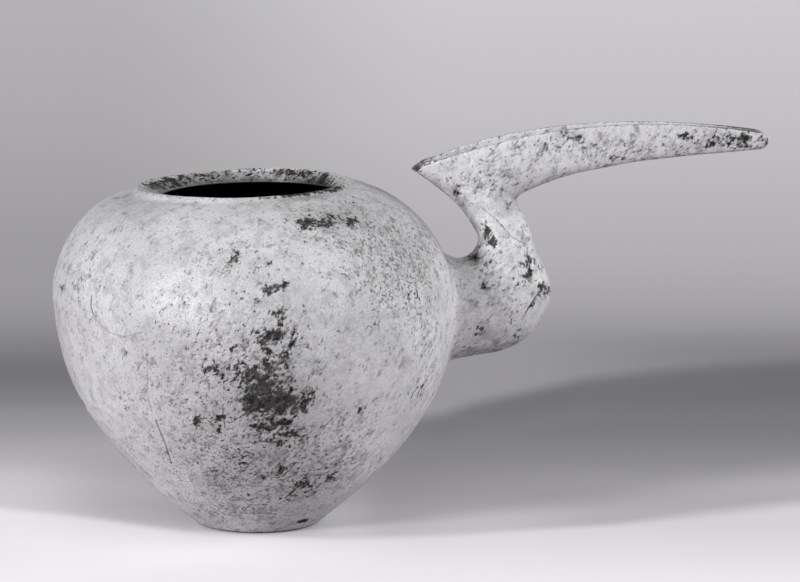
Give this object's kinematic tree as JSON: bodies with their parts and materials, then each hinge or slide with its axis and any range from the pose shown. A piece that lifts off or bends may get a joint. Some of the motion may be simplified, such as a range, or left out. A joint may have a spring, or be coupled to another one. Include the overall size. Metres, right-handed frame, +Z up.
{
  "type": "spouted pitcher",
  "caption": "Hand-built clay pitcher: full body on a small flat foot, wide neckless mouth, and a throat from its side that turns up into a long open beak with a pointed prow.",
  "frame": {"origin": "centre of the foot's flat underside", "axes": "+Z up, +X the way the beak points and pours, so the pitcher is mirrored by the XZ plane"},
  "size_m": [0.3423, 0.192, 0.1905],
  "materials": {
    "clay": "matt low-fired clay, pale and slightly burnished, with dark stains and wear"
  },
  "bodies": {
    "root": {"pitcher": "clay"}
  },
  "joints": []
}
